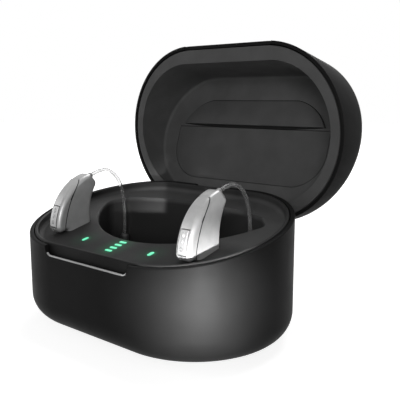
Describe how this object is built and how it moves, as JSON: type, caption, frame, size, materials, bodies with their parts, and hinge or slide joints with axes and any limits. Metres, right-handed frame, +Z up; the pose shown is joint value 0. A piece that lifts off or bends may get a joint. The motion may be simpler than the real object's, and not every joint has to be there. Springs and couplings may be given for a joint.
{
  "type": "hearing aid charger",
  "caption": "Oval hearing aid charging case with a hinged lid standing open, a sloping deck with a deep well, and its hearing aids docked with wires looping into the well.",
  "frame": {"origin": "middle of the rubber pad's lower face, on the surface that the case stands on", "axes": "+Z up, X along the case, -Y towards the front, where the deck is low and the lights are"},
  "size_m": [0.1, 0.0962, 0.0978],
  "materials": {
    "case_plastic": "charcoal moulded case plastic with a soft sheen",
    "tray_plastic": "dark grey moulded deck with a fine texture",
    "liner_plastic": "dark grey lid liner",
    "rubber": "soft non-slip rubber",
    "steel": "plated steel",
    "gold_contact": "gold plated contact",
    "circuit_board": "green circuit board",
    "lamp": "surface mounted lamp",
    "light_window": "mint green light window",
    "battery_wrap": "shrink wrapped cell",
    "aid_silver": "satin silver grey shell",
    "aid_silver_light": "satin light silver shell",
    "aid_dark": "dark moulded connector",
    "clear_wire": "clear jacketed thin wire",
    "silicone": "clear grey silicone"
  },
  "bodies": {
    "base": {"base_shell": "case_plastic", "bottom_cover": "case_plastic", "rubber_pad": "rubber", "bottom_screws": "steel", "deck_tray": "tray_plastic", "left_cradle": "tray_plastic", "right_cradle": "tray_plastic", "left_contact_board": "circuit_board", "right_contact_board": "circuit_board", "left_spring_contacts": "gold_contact", "right_spring_contacts": "gold_contact", "left_status_light": "light_window", "right_status_light": "light_window", "battery_light_1": "light_window", "battery_light_2": "light_window", "battery_light_3": "light_window", "battery_light_4": "light_window", "light_board": "circuit_board", "light_board_lamps": "lamp", "board_screws": "steel", "battery_pack": "battery_wrap", "main_board": "circuit_board", "charging_socket": "steel", "base_magnets": "steel", "hinge_block": "case_plastic", "hinge_block_screws": "steel", "hinge_pin": "steel"},
    "lid": {"lid_shell": "case_plastic", "lid_liner": "liner_plastic", "lid_lower_panel": "liner_plastic", "lid_hold_pad": "liner_plastic", "lid_hinge_arm": "case_plastic", "hinge_arm_screws": "steel", "lid_magnets": "steel"},
    "left_aid": {"left_aid_housing": "aid_silver", "left_aid_spine_cover": "aid_silver_light", "left_aid_charge_pads": "gold_contact", "left_aid_battery": "battery_wrap", "left_aid_circuit": "circuit_board", "left_aid_wire_plug": "aid_dark", "left_receiver_wire": "clear_wire", "left_receiver": "aid_dark", "left_ear_dome": "silicone", "left_aid_microphone_screens": "aid_dark"},
    "left_rocker": {"left_aid_rocker": "aid_silver_light"},
    "right_aid": {"right_aid_housing": "aid_silver", "right_aid_spine_cover": "aid_silver_light", "right_aid_charge_pads": "gold_contact", "right_aid_battery": "battery_wrap", "right_aid_circuit": "circuit_board", "right_aid_wire_plug": "aid_dark", "right_receiver_wire": "clear_wire", "right_receiver": "aid_dark", "right_ear_dome": "silicone", "right_aid_microphone_screens": "aid_dark"},
    "right_rocker": {"right_aid_rocker": "aid_silver_light"}
  },
  "joints": [
    {"name": "lid_hinge", "type": "hinge", "parent": "base", "child": "lid", "pos_m": [0, 0.0302, 0.036], "axis": [1, 0, 0], "range_deg": [0, 102.4]},
    {"name": "left_aid_lift", "type": "slide", "parent": "base", "child": "left_aid", "axis": [0, 0, 1], "range_m": [0, 0.06]},
    {"name": "left_rocker_press", "type": "hinge", "parent": "left_aid", "child": "left_rocker", "pos_m": [-0.0303, -0.01897, 0.03635], "axis": [1, 0, 0], "range_deg": [-3, 3], "stiffness_Nm_per_rad": 0.05},
    {"name": "right_aid_lift", "type": "slide", "parent": "base", "child": "right_aid", "axis": [0, 0, 1], "range_m": [0, 0.06]},
    {"name": "right_rocker_press", "type": "hinge", "parent": "right_aid", "child": "right_rocker", "pos_m": [0.0303, -0.01897, 0.03635], "axis": [1, 0, 0], "range_deg": [-3, 3], "stiffness_Nm_per_rad": 0.05}
  ]
}
